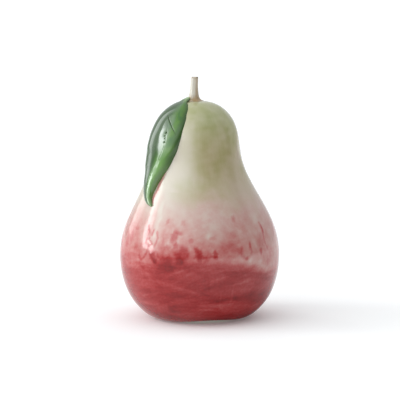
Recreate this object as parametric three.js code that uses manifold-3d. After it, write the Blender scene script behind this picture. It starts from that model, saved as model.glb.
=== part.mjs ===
// A glazed ceramic pear: a cast body on a small flat foot, a stub of stem, one thick leaf on its shoulder.
// Millimetres, +Z up, with the origin in the middle of the foot. The front is -Y, and the leaf lies to the
// left of it, on the -X side.
import * as THREE from "three";
import { NURBSCurve } from "three/addons/curves/NURBSCurve.js";
import { mergeVertices } from "three/addons/utils/BufferGeometryUtils.js";
import Module from "manifold-3d";

const wasm = await Module();
wasm.setup();

// ---- driving dimensions ----

const BELLY_RADIUS = 50;
const CROWN_HEIGHT = 136.2; // foot to the crown, where the stem grows
const TOTAL_HEIGHT = 150.8; // foot to the cut end of the stem
const LEAF_LENGTH = 77.5; // along the skin, stalk to tip
const LEAF_HALF_WIDTH = 18.6;
const GAP = 0.3; // glaze joint between two pieces
const STEM_LENGTH = TOTAL_HEIGHT - CROWN_HEIGHT;

// ---- body: an outline turned about the axis, then shaped by hand ----

// Control points of the outline, from the edge of the foot to the crown: [share of the belly radius,
// share of the crown height].
const OUTLINE = [
  [0.49, 0],
  [0.612, 0],
  [0.765, 0.041],
  [0.908, 0.112],
  [0.995, 0.212],
  [1.012, 0.324],
  [0.94, 0.44],
  [0.73, 0.58],
  [0.568, 0.7],
  [0.546, 0.808],
  [0.504, 0.896],
  [0.36, 0.97],
  [0.17, 1],
  [0, 1],
];
const OUTLINE_DEGREE = 3;
const OUTLINE_STEPS = 44;
const TURNS = 64; // sides of a full turn of the body

const VENT_RADIUS = 2.5; // the hole under the foot that lets air out in the kiln
const VENT_DEPTH = 6;
const FOOT_RINGS = [0.34, 0.4, 0.44]; // radii of the rings in the foot, as shares of belly radius

const NECK_LEAN = -2.3; // the neck leans to -X, between these two heights
const LEAN_FROM = 0.455 * CROWN_HEIGHT;
const LEAN_TO = 0.82 * CROWN_HEIGHT;

// Shallow furrows run out from under the foot, as at a pear's blossom end.
const FURROW_ANGLES = [-76, 48, 138].map(THREE.MathUtils.degToRad);
const FURROW_SPREAD = THREE.MathUtils.degToRad(36);
const FURROW_LIFT = 1.8;
const FURROW_FROM = 0.36 * BELLY_RADIUS; // inside this radius the foot is flat all round
const FURROW_FULL = 0.5 * BELLY_RADIUS;
const FURROW_TOP = 0.17 * CROWN_HEIGHT; // above this height the furrows have faded out

// ---- stem ----

const STEM_LEAN = -3.6; // where the stem's axis stands, along X
const STEM_SIDES = 28;
const STEM_ROOT = 4; // how far it runs down into the crown before it is cut to fit
// Radius of the stem at heights above the crown.
const STEM_OUTLINE = [
  [4.9, 0],
  [3.7, 1.3],
  [3, 3.2],
  [2.6, 6.2],
  [2.35, 10],
  [2.2, STEM_LENGTH - 0.5],
  [1.7, STEM_LENGTH],
];
const STEM_STEPS = 14;
const STEM_BEND = 0.5; // the cut end swings this far to +X

// ---- leaf ----

const LEAF_START = 4.5; // distance along the skin from the crown to the leaf's stalk
const LEAF_ANGLE = THREE.MathUtils.degToRad(-149); // the midrib runs down the front left of the neck
const TIP_TURN = THREE.MathUtils.degToRad(12); // the tip hooks round towards the front
const TIP_TURN_POWER = 14; // the greater, the closer to the tip the hook lies
// Half width of the leaf along its length: [share of the length, share of the greatest half width].
const LEAF_OUTLINE = [
  [0, 0.07],
  [0.05, 0.17],
  [0.12, 0.5],
  [0.22, 0.83],
  [0.34, 1],
  [0.47, 0.95],
  [0.61, 0.71],
  [0.76, 0.42],
  [0.84, 0.31],
  [0.91, 0.2],
  [0.96, 0.11],
  [1, 0.03],
];
const LEAF_STEPS = 46;
const LEAF_ACROSS = 14; // faces across the top
const LEAF_UNDER = 6; // faces across the underside
// Height of the leaf's two lobes above the skin along its length. It bridges the hollow of the neck.
const LEAF_CRESTS = [
  [0, 2.7],
  [0.1, 1.1],
  [0.25, 1.5],
  [0.45, 3.3],
  [0.67, 5],
  [0.83, 4.2],
  [0.94, 2.2],
  [1, 1.2],
];
const LOBE_POWER = 2.6; // how full the lobes are towards the leaf's edge
const MIDRIB_DEPTH = 0.42; // how deep the midrib sinks between the lobes, as a share of their height
const MIDRIB_WIDTH = 0.2; // as a share of the half width
const MIDRIB_FROM = 0.06; // shares of the length between which the midrib sinks to its full depth
const MIDRIB_FULL = 0.3;

// ---- colours ----

const IVORY = new THREE.Color(0xdcd0bc);
const GREEN = new THREE.Color(0xa9a987);
const PINK = new THREE.Color(0xc9a59c);
const RED = new THREE.Color(0x9f4f4d);
const LEAF_GREEN = new THREE.Color(0x4f7f45);
const STEM_CREAM = new THREE.Color(0xbeb59f);
// The body's washes lie over the red one: [height where a colour starts, height where it is full, colour].
const WASHES = [
  [0.28 * CROWN_HEIGHT, 0.42 * CROWN_HEIGHT, PINK],
  [0.42 * CROWN_HEIGHT, 0.58 * CROWN_HEIGHT, IVORY],
  [0.58 * CROWN_HEIGHT, 0.76 * CROWN_HEIGHT, GREEN],
];

const MERGE_DISTANCE = 1e-4;
const CLOSE_ENOUGH = 1e-6; // where the search along a spline stops

const smoothstep = THREE.MathUtils.smoothstep;
const bell = (x, width) => Math.exp(-Math.pow(x / width, 2));

const outline = new NURBSCurve(
  OUTLINE_DEGREE,
  clampedKnots(OUTLINE.length, OUTLINE_DEGREE),
  OUTLINE.map(([r, h]) => new THREE.Vector4(r * BELLY_RADIUS, h * CROWN_HEIGHT, 0, 1)),
);
outline.arcLengthDivisions = 800; // keeps the steps along the skin even
const OUTLINE_LENGTH = outline.getLength();

// Evenly spaced knots that hold a spline's ends at its first and last control points.
function clampedKnots(points, degree) {
  const spans = points - degree;
  const inner = Array.from({ length: spans - 1 }, (_, i) => (i + 1) / spans);
  return [...Array(degree + 1).fill(0), ...inner, ...Array(degree + 1).fill(1)];
}

// The point of the outline at t, from 0 at the foot to 1 at the crown, moved outwards by height.
function outlinePoint(t, height) {
  const point = outline.getPointAt(t);
  const along = outline.getTangentAt(t);
  return new THREE.Vector2(point.x + along.y * height, point.y - along.x * height);
}

// Moves a point of the turned body to its place in the finished body, with furrows and a leaning neck.
function shapeByHand(point) {
  const radius = Math.hypot(point.x, point.y);
  const angle = Math.atan2(point.y, point.x);
  const away = (middle) => 2 * Math.asin(Math.abs(Math.sin((angle - middle) / 2)));
  const depths = FURROW_ANGLES.map((middle) => bell(away(middle), FURROW_SPREAD));
  const furrow = depths.reduce((sum, depth) => sum + depth);
  const reach = smoothstep(radius, FURROW_FROM, FURROW_FULL) * (1 - smoothstep(point.z, 0, FURROW_TOP));
  point.z += FURROW_LIFT * furrow * reach;
  point.x += NECK_LEAN * smoothstep(point.z, LEAN_FROM, LEAN_TO);
  return point;
}

// A point at a height above the skin, at an angle about the axis and a distance down the skin from the top.
function aboveSkin(angle, station, height) {
  const p = outlinePoint(1 - station / OUTLINE_LENGTH, height);
  return shapeByHand(new THREE.Vector3(p.x * Math.cos(angle), p.x * Math.sin(angle), p.y));
}

// Applies a change of place to every vertex of a geometry, and closes its seams.
function reshape(geometry, move) {
  geometry.deleteAttribute("normal");
  geometry.deleteAttribute("uv");
  const closed = mergeVertices(geometry, MERGE_DISTANCE);
  const position = closed.getAttribute("position");
  const point = new THREE.Vector3();
  for (let i = 0; i < position.count; i++) {
    move(point.fromBufferAttribute(position, i));
    position.setXYZ(i, point.x, point.y, point.z);
  }
  return closed;
}

// Turns a profile of [radius, height] points about +Z.
function turned(profile, sides) {
  return new THREE.LatheGeometry(profile, sides).rotateX(Math.PI / 2);
}

// The body's geometry, grown outwards by grow. The copy that only cuts the body's neighbours has no vent.
function bodyGeometry(grow, vented) {
  const foot = FOOT_RINGS.map((share) => new THREE.Vector2(share * BELLY_RADIUS, -grow));
  const underside = vented
    ? [
        new THREE.Vector2(0, VENT_DEPTH),
        new THREE.Vector2(VENT_RADIUS, VENT_DEPTH),
        new THREE.Vector2(VENT_RADIUS, 0),
      ]
    : [new THREE.Vector2(0, -grow)];
  const side = Array.from({ length: OUTLINE_STEPS }, (_, i) => outlinePoint(i / OUTLINE_STEPS, grow));
  const crown = new THREE.Vector2(0, CROWN_HEIGHT + grow);
  return reshape(turned([...underside, ...foot, ...side, crown], TURNS), shapeByHand);
}

// Colours each vertex by its height, as the washes lie: red at the foot, then pink, ivory and green.
function washByHeight(geometry) {
  const position = geometry.getAttribute("position");
  const colours = new Float32Array(position.count * 3);
  const colour = new THREE.Color();
  for (let i = 0; i < position.count; i++) {
    colour.copy(RED);
    for (const [from, to, wash] of WASHES) colour.lerp(wash, smoothstep(position.getZ(i), from, to));
    colour.toArray(colours, i * 3);
  }
  return geometry.setAttribute("color", new THREE.BufferAttribute(colours, 3));
}

// ---- solids that are cut to fit ----

function solidOf(geometry) {
  const vertProperties = new Float32Array(geometry.getAttribute("position").array);
  const triVerts = new Uint32Array(geometry.index.array);
  return new wasm.Manifold(new wasm.Mesh({ numProp: 3, vertProperties, triVerts }));
}

function geometryOf(solid) {
  const mesh = solid.getMesh();
  const geometry = new THREE.BufferGeometry();
  geometry.setAttribute("position", new THREE.BufferAttribute(mesh.vertProperties, 3));
  geometry.setIndex(new THREE.BufferAttribute(mesh.triVerts, 1));
  geometry.computeVertexNormals();
  return geometry;
}

// The stem, wider by grow all round. It flares into the crown and swings a little to +X at its cut end.
function stemGeometry(grow) {
  const side = new THREE.SplineCurve(STEM_OUTLINE.map(([r, h]) => new THREE.Vector2(r + grow, h)));
  const profile = [
    new THREE.Vector2(0, -STEM_ROOT),
    new THREE.Vector2(STEM_OUTLINE[0][0] + grow, -STEM_ROOT),
    ...side.getPoints(STEM_STEPS),
    new THREE.Vector2(0, STEM_LENGTH),
  ];
  return reshape(turned(profile, STEM_SIDES), (point) => {
    const share = Math.max(0, point.z) / STEM_LENGTH;
    point.x += STEM_LEAN + STEM_BEND * share * share;
    point.z += CROWN_HEIGHT;
  });
}

// A smooth function through [x, y] points, by halving the spline until it stands at x.
function through(points) {
  const spline = new THREE.SplineCurve(points.map(([x, y]) => new THREE.Vector2(x, y)));
  return (x) => {
    let [low, high] = [0, 1];
    while (high - low > CLOSE_ENOUGH) {
      const middle = (low + high) / 2;
      if (spline.getPoint(middle).x < x) low = middle;
      else high = middle;
    }
    return spline.getPoint(low).y;
  };
}

const leafWidth = through(LEAF_OUTLINE);
const leafCrest = through(LEAF_CRESTS);

// Height of the leaf's top above the skin, u along its length and v across it from -1 to 1.
function leafHeight(u, v) {
  const rounded = Math.sqrt(1 - Math.pow(Math.abs(v), LOBE_POWER));
  const valley = MIDRIB_DEPTH * smoothstep(u, MIDRIB_FROM, MIDRIB_FULL) * bell(v, MIDRIB_WIDTH);
  return GAP + leafCrest(u) * rounded * (1 - valley);
}

// One closed ring of the leaf: over the top from edge to edge, then back along its underside.
function leafRing(u) {
  const station = LEAF_START + LEAF_LENGTH * u;
  const halfWidth = LEAF_HALF_WIDTH * leafWidth(u);
  const distance = outlinePoint(1 - station / OUTLINE_LENGTH, 0).x;
  const middle = LEAF_ANGLE + TIP_TURN * Math.pow(u, TIP_TURN_POWER);
  const at = (v, height) => aboveSkin(middle + (v * halfWidth) / distance, station, height);
  const ring = [];
  for (let i = 0; i <= LEAF_ACROSS; i++) {
    const v = -Math.cos((Math.PI * i) / LEAF_ACROSS);
    ring.push(at(v, leafHeight(u, v)));
  }
  for (let i = 1; i < LEAF_UNDER; i++) {
    ring.push(at(1 - (2 * i) / LEAF_UNDER, GAP));
  }
  return ring;
}

// Joins closed rings of equal count into one skin, with a fan of faces over the first and the last ring.
function loft(rings) {
  const count = rings[0].length;
  const middleOf = (ring) => ring.reduce((sum, p) => sum.add(p), new THREE.Vector3()).divideScalar(count);
  const points = [...rings.flat(), middleOf(rings[0]), middleOf(rings.at(-1))];
  const firstMiddle = points.length - 2;
  const lastRing = (rings.length - 1) * count;
  const faces = [];
  for (let i = 0; i < count; i++) {
    const next = (i + 1) % count;
    for (let start = 0; start < lastRing; start += count) {
      faces.push(start + i, start + count + i, start + next);
      faces.push(start + next, start + count + i, start + count + next);
    }
    faces.push(firstMiddle, i, next);
    faces.push(firstMiddle + 1, lastRing + next, lastRing + i);
  }
  return new THREE.BufferGeometry().setFromPoints(points).setIndex(faces);
}

function leafGeometry() {
  return loft(Array.from({ length: LEAF_STEPS + 1 }, (_, i) => leafRing(i / LEAF_STEPS)));
}

// ---- the pieces ----

function piece(name, geometry, look) {
  const mesh = new THREE.Mesh(geometry, new THREE.MeshStandardMaterial({ metalness: 0, ...look }));
  mesh.name = name;
  return mesh;
}

const body = piece("body", washByHeight(bodyGeometry(0, true)), { vertexColors: true, roughness: 0.12 });

const grownBody = solidOf(bodyGeometry(GAP, false));
const stemSolid = solidOf(stemGeometry(0)).subtract(grownBody);
const stem = piece("stem", geometryOf(stemSolid), { color: STEM_CREAM, roughness: 0.3 });

const leafSolid = solidOf(leafGeometry()).subtract(solidOf(stemGeometry(GAP)));
const leaf = piece("leaf", geometryOf(leafSolid), { color: LEAF_GREEN, roughness: 0.1 });

const pear = new THREE.Group();
pear.add(body, stem, leaf);

export default pear;
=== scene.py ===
# %% [markdown]
# # A glazed ceramic pear
#
# The real object is a pear of cast clay, painted with underglaze stains and dipped in clear glaze. A stub of
# stem stands on its crown, and one thick leaf of rolled clay is laid over its shoulder.
#
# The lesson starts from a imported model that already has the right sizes. Every dimension here is read from
# that model or repeats one of its few driving dimensions, so a piece made here lies where the model says.

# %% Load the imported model
import math

import bpy
import numpy as np
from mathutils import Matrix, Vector


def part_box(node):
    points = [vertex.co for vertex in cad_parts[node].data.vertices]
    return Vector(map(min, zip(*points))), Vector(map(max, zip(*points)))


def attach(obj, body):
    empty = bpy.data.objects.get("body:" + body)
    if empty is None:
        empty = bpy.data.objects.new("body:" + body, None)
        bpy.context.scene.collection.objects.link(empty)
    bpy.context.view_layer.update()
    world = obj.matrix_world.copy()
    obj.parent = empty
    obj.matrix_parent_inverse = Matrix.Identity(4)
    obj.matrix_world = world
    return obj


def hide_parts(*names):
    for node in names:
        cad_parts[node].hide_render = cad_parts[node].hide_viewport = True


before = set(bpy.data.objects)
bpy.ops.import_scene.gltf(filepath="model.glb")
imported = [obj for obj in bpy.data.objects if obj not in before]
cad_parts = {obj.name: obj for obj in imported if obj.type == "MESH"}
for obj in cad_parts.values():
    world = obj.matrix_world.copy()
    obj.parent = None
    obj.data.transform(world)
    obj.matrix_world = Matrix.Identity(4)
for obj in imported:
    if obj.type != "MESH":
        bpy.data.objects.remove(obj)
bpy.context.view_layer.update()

MM = 0.001
body_low, body_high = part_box("body")
_, stem_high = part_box("stem")
BELLY_WIDTH = body_high.x - body_low.x
CROWN_HEIGHT = body_high.z
STEM_TOP = stem_high.z
print(f"belly {BELLY_WIDTH / MM:.1f} mm wide, crown at {CROWN_HEIGHT / MM:.1f}, stem to {STEM_TOP / MM:.1f}")

# %% [markdown]
# ## Short words for node trees
#
# Geometry and material recipes are both node trees, and both are mostly arithmetic. They could be written
# node by node, but then a rule of one line fills half a page. Here a value in a tree is a term, and each
# plus, minus or times between terms adds one Math node. A bench holds one tree and adds its other nodes.

# %% Values in a tree


class Term:
    """One output of a node. Arithmetic on it adds nodes to its tree."""

    def __init__(self, bench, socket):
        self.bench = bench
        self.socket = socket

    def __add__(self, other):
        return self.bench.math("ADD", self, other)

    def __sub__(self, other):
        return self.bench.math("SUBTRACT", self, other)

    def __rsub__(self, other):
        return self.bench.math("SUBTRACT", other, self)

    def __mul__(self, other):
        return self.bench.math("MULTIPLY", self, other)

    def __truediv__(self, other):
        return self.bench.math("DIVIDE", self, other)

    def __pow__(self, other):
        return self.bench.math("POWER", self, other)

    def __abs__(self):
        return self.bench.math("ABSOLUTE", self)

    def __lt__(self, other):
        return self.bench.value("FunctionNodeCompare", {"A": self, "B": other}, operation="LESS_THAN")

    def __gt__(self, other):
        return self.bench.value("FunctionNodeCompare", {"A": self, "B": other}, operation="GREATER_THAN")

    __radd__ = __add__
    __rmul__ = __mul__


# %% A bench to build node trees on


class Bench:
    def __init__(self, tree):
        self.tree = tree

    def feed(self, socket, value):
        """Links a socket to a term, or sets it to a plain value."""
        if isinstance(value, Term):
            self.tree.links.new(value.socket, socket)
        else:
            socket.default_value = value

    def node(self, kind, feeds=None, **settings):
        """Adds a node, sets its options, then feeds its sockets by name or by number."""
        node = self.tree.nodes.new(kind)
        for name, value in settings.items():
            setattr(node, name, value)
        for key, value in (feeds or {}).items():
            self.feed(node.inputs[key], value)
        return node

    def value(self, kind, feeds=None, output=0, **settings):
        """Adds a node and gives one of its outputs as a term."""
        return Term(self, self.node(kind, feeds, **settings).outputs[output])

    def math(self, operation, *values):
        return self.value("ShaderNodeMath", dict(enumerate(values)), operation=operation)

    def vector(self, operation, *values):
        return self.value("ShaderNodeVectorMath", dict(enumerate(values)), operation=operation)

    def smooth(self, value, low, high, to_low=0.0, to_high=1.0):
        """Eases from to_low to to_high while value goes from low to high."""
        feeds = dict(enumerate((value, low, high, to_low, to_high)))
        return self.value("ShaderNodeMapRange", feeds, interpolation_type="SMOOTHSTEP")

    def between(self, value, low, low_in, high_in, high):
        """One between two limits, easing to nothing outside them."""
        return self.smooth(value, low, low_in) * self.smooth(value, high_in, high, 1.0, 0.0)

    def bell(self, distance, width):
        """One where distance is nought, and falling smoothly to nothing past width."""
        share = distance / width
        return self.math("EXPONENT", share * share * -1.0)

    def split(self, vector):
        outputs = self.node("ShaderNodeSeparateXYZ", {0: vector}).outputs
        return [Term(self, output) for output in outputs]

    def join(self, x, y, z=0.0):
        return self.value("ShaderNodeCombineXYZ", {0: x, 1: y, 2: z})

    def length(self, x, y):
        return self.value("ShaderNodeVectorMath", {0: self.join(x, y)}, "Value", operation="LENGTH")

    def drawn(self, value, points, handles="AUTO"):
        """A curve through points that share the range from nought to one on both axes."""
        node = self.node("ShaderNodeFloatCurve", {"Value": value})
        line = node.mapping.curves[0].points
        for _ in points[2:]:
            line.new(0.5, 0.5)
        for point, place in zip(line, points):
            point.location = place
            point.handle_type = handles
        node.mapping.update()
        return Term(self, node.outputs[0])


# %% The bench's words for geometry


class GeometryBench(Bench):
    def position(self):
        return self.value("GeometryNodeInputPosition")

    def grid(self, columns, rows):
        """A flat grid of one metre each way, about the origin."""
        sizes = {"Size X": 1.0, "Size Y": 1.0, "Vertices X": columns, "Vertices Y": rows}
        return self.value("GeometryNodeMeshGrid", sizes)

    def marked(self, mesh, name, vector):
        """Keeps a vector on a mesh's points as an attribute."""
        feeds = {"Geometry": mesh, "Name": name, "Value": vector}
        return self.value("GeometryNodeStoreNamedAttribute", feeds, data_type="FLOAT_VECTOR")

    def moved(self, mesh, place):
        return self.value("GeometryNodeSetPosition", {"Geometry": mesh, "Position": place})

    def covered(self, mesh, material, where=True):
        feeds = {"Geometry": mesh, "Selection": where, "Material": material}
        return self.value("GeometryNodeSetMaterial", feeds)

    def group(self, tree, **feeds):
        return self.value("GeometryNodeGroup", feeds, node_tree=tree)

    def give(self, **results):
        """Feeds the tree's outputs, and prints its size."""
        self.node("NodeGroupOutput", results)
        print(f"recipe {self.tree.name}: {len(self.tree.nodes)} nodes")
        return self.tree


def geometry_tree(name, inputs, outputs):
    """A bench with a new geometry tree that has named inputs and outputs, and its inputs as terms."""
    tree = bpy.data.node_groups.new(name, "GeometryNodeTree")
    for direction, sockets in (("INPUT", inputs), ("OUTPUT", outputs)):
        for label, kind in sockets.items():
            tree.interface.new_socket(name=label, in_out=direction, socket_type="NodeSocket" + kind)
    bench = GeometryBench(tree)
    entry = bench.node("NodeGroupInput")
    return bench, {label: Term(bench, entry.outputs[label]) for label in inputs}


# %% From a recipe to a piece


def grown(name, tree, values):
    """Runs a geometry tree on an empty mesh, and keeps its result as a plain mesh object."""
    source = bpy.data.objects.new(name + "_recipe", bpy.data.meshes.new(name + "_recipe"))
    bpy.context.scene.collection.objects.link(source)
    modifier = source.modifiers.new("recipe", "NODES")
    modifier.node_group = tree
    for item in tree.interface.items_tree:
        if item.in_out == "INPUT":
            modifier[item.identifier] = values[item.name]
    mesh = bpy.data.meshes.new_from_object(source.evaluated_get(bpy.context.evaluated_depsgraph_get()))
    mesh.name = name
    bpy.data.objects.remove(source)
    numbers = np.zeros(len(mesh.polygons), np.int32)
    mesh.polygons.foreach_get("material_index", numbers)
    for _ in range(numbers.min()):  # material slots that no face uses come first
        mesh.materials.pop(index=0)
    mesh.polygons.foreach_set("material_index", numbers - numbers.min())
    piece = bpy.data.objects.new(name, mesh)
    bpy.context.scene.collection.objects.link(piece)
    triangles = sum(len(p.vertices) - 2 for p in mesh.polygons)
    print(f"{name}: {len(mesh.vertices)} points, {triangles} triangles")
    return piece


# %% [markdown]
# ## Camera
#
# The pear is seen from a little above its middle, with a long lens from just over a metre away, so its
# outline hardly changes with depth.

# %% Camera
CAMERA_DISTANCE = 1.1
CAMERA_RISE = math.radians(7)
CAMERA_AIM = Vector((0.2 * MM, 0, 73.7 * MM))
CAMERA_LENS = 158

camera = bpy.data.objects.new("camera", bpy.data.cameras.new("camera"))
bpy.context.scene.collection.objects.link(camera)
camera.data.lens = CAMERA_LENS
camera.location = CAMERA_AIM + CAMERA_DISTANCE * Vector((0, -math.cos(CAMERA_RISE), math.sin(CAMERA_RISE)))
camera.rotation_euler = (math.pi / 2 - CAMERA_RISE, 0, 0)
bpy.context.scene.camera = camera
print(f"camera {CAMERA_DISTANCE} m away, {math.degrees(CAMERA_RISE):.0f} degrees up")

# %% [markdown]
# ## The body's outline
#
# The clay body was cast in a mould, and its side is one smooth curve from the crown to the foot. It could be
# drawn with Bezier handles, but a line like that can kink at each of its points. A NURBS curve of order four
# suits it better: a few control points give a line whose bend changes smoothly, so the glaze will mirror its
# surroundings unbroken. The curve is drawn in shares of the belly's radius and the crown's height, and then
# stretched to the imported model's size. The foot and the vent hole in it have corners, so they are a second
# spline, of straight lines.

# %% Draw the outline
OUTLINE = [
    (0, 1), (0.17, 1), (0.36, 0.97), (0.504, 0.896), (0.546, 0.808), (0.568, 0.7), (0.73, 0.58),
    (0.94, 0.44), (1.012, 0.324), (0.995, 0.212), (0.908, 0.112), (0.765, 0.041), (0.612, 0), (0.49, 0),
]  # fmt: skip
OUTLINE_STEPS = 18  # rows of faces for each span of the curve
FOOT_RADII = [radius * MM for radius in (24, 22, 20, 18, 15, 11, 7, 4)]
VENT_RADIUS = 2.5 * MM
VENT_BEVEL = 0.5 * MM
VENT_DEPTH = 6 * MM


def profile(name, splines, steps=1):
    """A curve object in the XZ plane: X is the distance from the axis. Each spline is (kind, points)."""
    curve = bpy.data.curves.new(name, "CURVE")
    curve.dimensions = "3D"
    for kind, points in splines:
        spline = curve.splines.new(kind)
        spline.points.add(len(points) - 1)
        for point, (radius, height) in zip(spline.points, points):
            point.co = (radius, 0, height, 1)
        spline.order_u = min(4, len(points))
        spline.use_endpoint_u = True
        spline.resolution_u = steps
    held = bpy.data.objects.new(name, curve)
    bpy.context.scene.collection.objects.link(held)
    return held


def samples(curve_object, steps=40):
    """Points along a profile, fine enough to measure it, as an array of [radius, height]."""
    curve_object.data.splines[0].resolution_u = steps
    mesh = bpy.data.meshes.new_from_object(
        curve_object.evaluated_get(bpy.context.evaluated_depsgraph_get())
    )
    found = np.array([v.co for v in mesh.vertices])[:, [0, 2]]
    bpy.data.meshes.remove(mesh)
    return found


trial = profile("trial", [("NURBS", OUTLINE)])
WIDEST_SHARE = float(samples(trial)[:, 0].max())
bpy.data.objects.remove(trial)
BELLY_RADIUS = BELLY_WIDTH / 2 / WIDEST_SHARE
side_points = [(r * BELLY_RADIUS, h * CROWN_HEIGHT) for r, h in OUTLINE]
foot_points = [side_points[-1], *((r, 0) for r in FOOT_RADII)]
vent_points = [
    (VENT_RADIUS + VENT_BEVEL, 0),
    (VENT_RADIUS, VENT_BEVEL),
    (VENT_RADIUS, VENT_DEPTH),
    (0, VENT_DEPTH),
]
outline = profile("outline", [("NURBS", side_points)])
SKIN = samples(outline)
SKIN_STATIONS = np.concatenate([[0], np.hypot(*np.diff(SKIN, axis=0).T).cumsum()])
outline.data.splines[0].resolution_u = OUTLINE_STEPS
whole_outline = profile(
    "whole_outline", [("NURBS", side_points), ("POLY", foot_points + vent_points)], OUTLINE_STEPS
)
print(f"belly radius {BELLY_RADIUS / MM:.2f} mm, side {SKIN_STATIONS[-1] / MM:.1f} mm along the skin")

# %% [markdown]
# ## What hands did to the shape
#
# A turned shape is too perfect. The neck leans a little to the left, and shallow furrows run out from under
# the foot, as at the blossom end of a real pear. Both could be sculpted, but then the leaf wouldn't know of
# them. Here they are rules that move a point of the turned shape, kept in one group so that the body and the
# leaf on it move alike.

# %% A group that moves points by those rules
NECK_LEAN = -2.3 * MM
LEAN_FROM = 0.455 * CROWN_HEIGHT
LEAN_TO = 0.82 * CROWN_HEIGHT
FURROW_ANGLES = [math.radians(a) for a in (-76, 48, 138)]
FURROW_SPREAD = math.radians(36)
FURROW_LIFT = 1.8 * MM
FURROW_FROM = 0.36 * BELLY_RADIUS
FURROW_FULL = 0.5 * BELLY_RADIUS
FURROW_TOP = 0.17 * CROWN_HEIGHT


def shape_by_hand():
    bench, given = geometry_tree("shape_by_hand", {"Position": "Vector"}, {"Position": "Vector"})
    x, y, z = bench.split(given["Position"])
    radius = bench.length(x, y)
    angle = bench.math("ARCTAN2", y, x)
    furrow = 0.0
    for middle in FURROW_ANGLES:
        half_turn = (angle - middle) * 0.5
        away = bench.math("ARCSINE", abs(bench.math("SINE", half_turn))) * 2.0
        furrow += bench.bell(away, FURROW_SPREAD)
    reach = bench.smooth(radius, FURROW_FROM, FURROW_FULL) * bench.smooth(z, 0.0, FURROW_TOP, 1.0, 0.0)
    lifted = z + furrow * reach * FURROW_LIFT
    leaning = x + bench.smooth(lifted, LEAN_FROM, LEAN_TO, 0.0, NECK_LEAN)
    return bench.give(Position=bench.join(leaning, y, lifted))


SHAPE_BY_HAND = shape_by_hand()

# %% [markdown]
# ## A potter's wheel
#
# Spinning a profile by hand leaves a seam and two open poles. Here a grid is the clay: each of its rows takes
# the distance and the height of one point of the profile, and each column takes one angle. Merging what
# then lies in the same place closes the seam and the poles. The angle and the distance down the profile are
# kept on the points as an attribute, because brush strokes will follow them. The seam is at the back.

# %% A group that turns a profile


def turned():
    bench, given = geometry_tree("turned", {"Profile": "Object", "Sides": "Int"}, {"Mesh": "Geometry"})
    held = bench.value("GeometryNodeObjectInfo", {"Object": given["Profile"]}, "Geometry")
    points = bench.value("GeometryNodeResampleCurve", {"Curve": held}, mode="EVALUATED")
    count = bench.value("GeometryNodeAttributeDomainSize", {0: points}, component="CURVE")
    x, y, _ = bench.split(bench.position())
    row = bench.math("ROUND", (0.5 - y) * (count - 1))
    angle = x * math.tau - math.pi / 2

    def at_row(value, data_type):
        feeds = {"Geometry": points, "Index": row, "Value": value}
        return bench.value("GeometryNodeSampleIndex", feeds, data_type=data_type)

    radius, _, height = bench.split(at_row(bench.position(), "FLOAT_VECTOR"))
    station = at_row(bench.value("GeometryNodeSplineParameter", {}, "Length"), "FLOAT")
    cosine = bench.math("COSINE", angle)
    sine = bench.math("SINE", angle)
    clay = bench.grid(given["Sides"] + 1, count)
    clay = bench.marked(clay, "around", bench.join(cosine, sine, station))
    return bench.give(Mesh=bench.moved(clay, bench.join(radius * cosine, radius * sine, height)))


TURNED = turned()
MERGE_REACH = 0.004 * MM
CREASE = math.radians(40)


def finished(bench, mesh):
    """Closes a mesh's seams and poles, and shades it smooth but for edges sharper than the crease."""
    closed = bench.value("GeometryNodeMergeByDistance", {"Geometry": mesh, "Distance": MERGE_REACH})
    sharp = bench.value("GeometryNodeInputMeshEdgeAngle", {}, "Unsigned Angle") > CREASE
    feeds = {"Geometry": closed, "Selection": sharp, "Shade Smooth": False}
    shaded = bench.value("GeometryNodeSetShadeSmooth", feeds, domain="EDGE")
    return bench.value("GeometryNodeRealizeInstances", {"Geometry": shaded})


# %% [markdown]
# ## The body
#
# The body is the one large piece of cast clay. It could be a Screw modifier on a curve, but the wheel above
# also closes the crown and keeps the places that the strokes will need. Its foot was wiped before firing, so
# that it wouldn't stick to the kiln's shelf, and the faces there and in the vent get bare clay.

# %% Turn the body
BODY_SIDES = 384
BARE_RADIUS = 19 * MM  # inside this the foot was wiped clean of glaze
VENT_ROOF = 1.01 * VENT_DEPTH  # a little over it


def body_recipe():
    inputs = {
        "Profile": "Object", "Sides": "Int", "Bare radius": "Float",
        "Glaze": "Material", "Clay": "Material",
    }  # fmt: skip
    bench, given = geometry_tree("pear_body", inputs, {"Mesh": "Geometry"})
    position = bench.position()
    spun = bench.group(TURNED, Profile=given["Profile"], Sides=given["Sides"])
    closed = finished(bench, bench.moved(spun, bench.group(SHAPE_BY_HAND, Position=position)))
    x, y, z = bench.split(position)
    inside = bench.length(x, y) < given["Bare radius"]
    bare = bench.value("FunctionNodeBooleanMath", {0: inside, 1: z < VENT_ROOF}, operation="AND")
    glazed = bench.covered(closed, given["Glaze"])
    return bench.give(Mesh=bench.covered(glazed, given["Clay"], bare))


painted_glaze = bpy.data.materials.new("painted_glaze")
bare_clay = bpy.data.materials.new("bare_clay")
body_values = {
    "Profile": whole_outline, "Sides": BODY_SIDES, "Bare radius": BARE_RADIUS,
    "Glaze": painted_glaze, "Clay": bare_clay,
}  # fmt: skip
body = grown("pear_body", body_recipe(), body_values)

# %% [markdown]
# ## Laying things on the skin
#
# The leaf was rolled out flat and pressed on while the clay was soft, so it follows the body. A Shrinkwrap
# modifier could press a flat leaf on, but it would lose the leaf's thickness. The group below finds the place
# at an angle about the axis, at a distance down the skin from the crown, and at a height above it. It reads
# the same outline as the body and moves the place by the same rules.

# %% A group for places on the skin


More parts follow.
